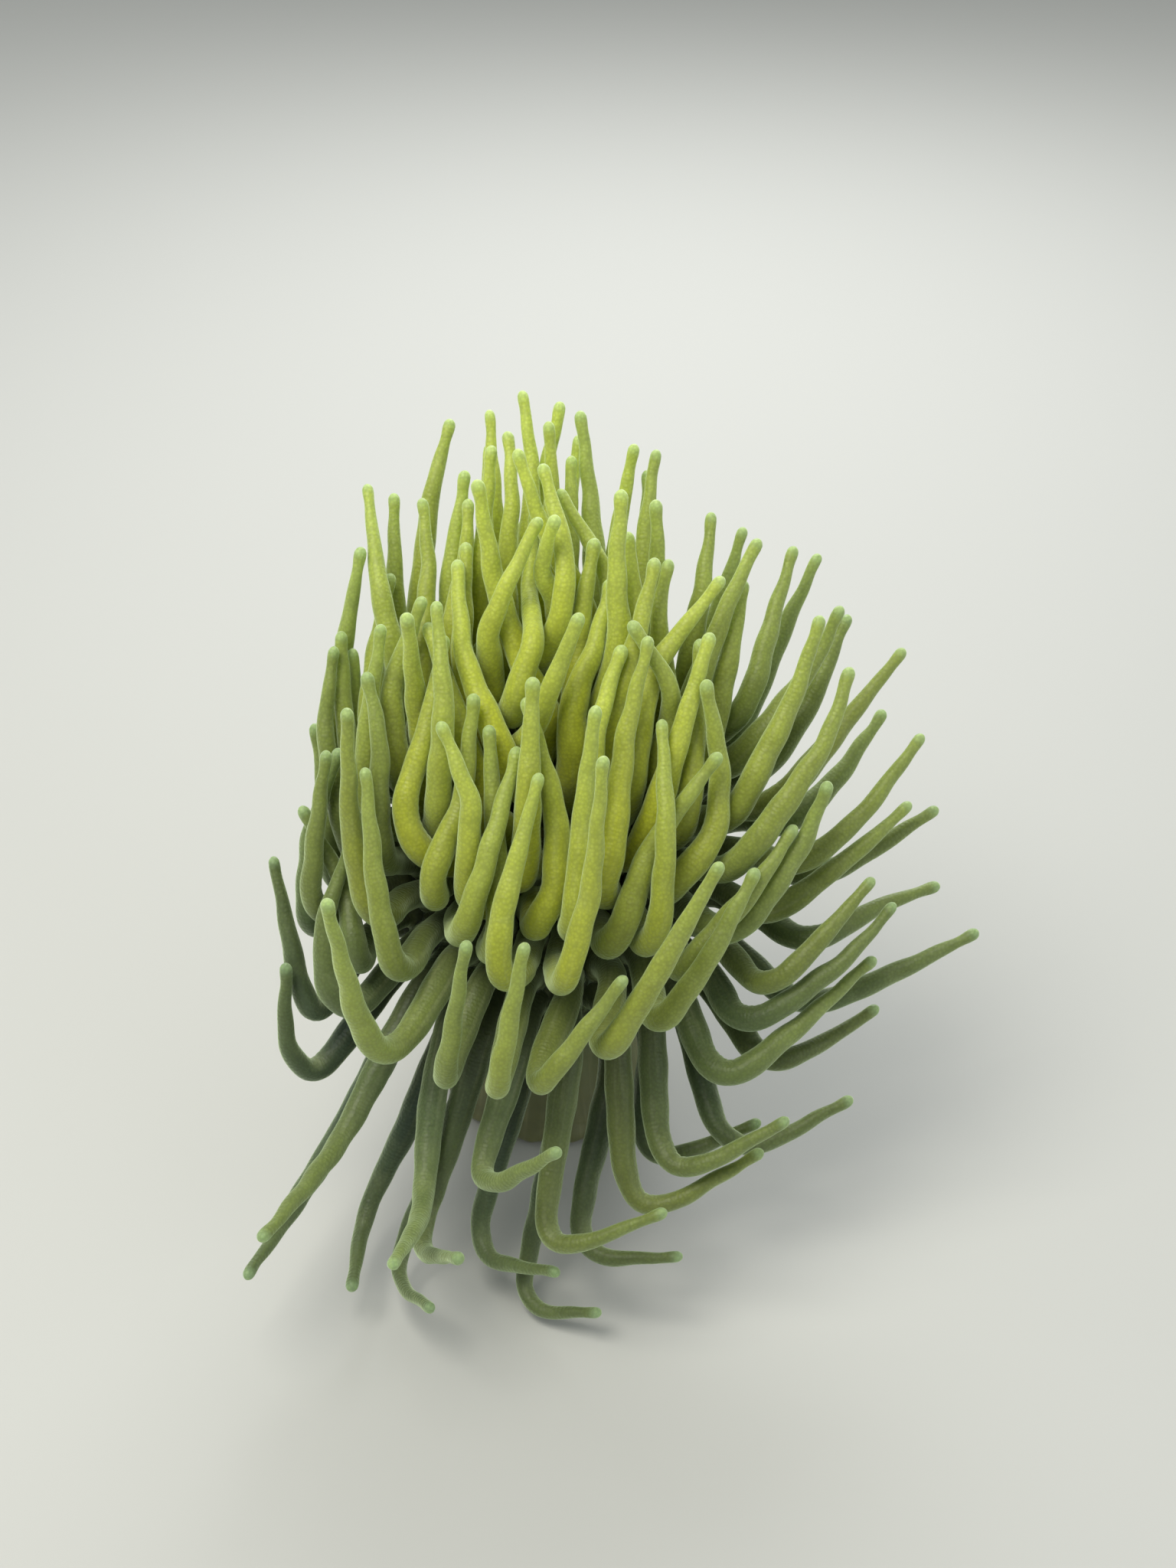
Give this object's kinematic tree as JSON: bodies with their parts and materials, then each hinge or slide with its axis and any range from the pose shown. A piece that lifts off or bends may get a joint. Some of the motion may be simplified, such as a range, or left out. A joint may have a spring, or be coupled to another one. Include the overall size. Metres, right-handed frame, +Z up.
{
  "type": "sea anemone",
  "caption": "Life-size giant Caribbean sea anemone: pedal disc, leaning column and a tilted domed crown of long, blunt, upswept tentacles round a small mouth.",
  "frame": {"origin": "middle of the pedal disc's underside, on the floor", "axes": "+Z is up from the floor; the column leans and the crown opens towards -Y; +X is to the right of someone who faces the crown"},
  "size_m": [0.2504, 0.2389, 0.2684],
  "materials": {
    "pedal_disc": "moist matt flesh, brownish olive",
    "column": "moist smooth flesh, olive with paler lengthwise streaks",
    "oral_disc": "moist smooth flesh, olive green",
    "mouth": "moist folded lips, pale olive",
    "crown_inner": "moist translucent flesh, yellow green with pale tips",
    "crown_outer": "moist translucent flesh, grey green with pale tips"
  },
  "bodies": {
    "root": {"pedal_disc": "pedal_disc", "column_lower": "column", "column_upper": "column", "oral_disc": "oral_disc", "mouth": "mouth", "crown_inner_right": "crown_inner", "crown_inner_back_right": "crown_inner", "crown_inner_back_left": "crown_inner", "crown_inner_left": "crown_inner", "crown_inner_front_left": "crown_inner", "crown_inner_front_right": "crown_inner", "crown_outer_right": "crown_outer", "crown_outer_back_right": "crown_outer", "crown_outer_back_left": "crown_outer", "crown_outer_left": "crown_outer", "crown_outer_front_left": "crown_outer", "crown_outer_front_right": "crown_outer"}
  },
  "joints": []
}
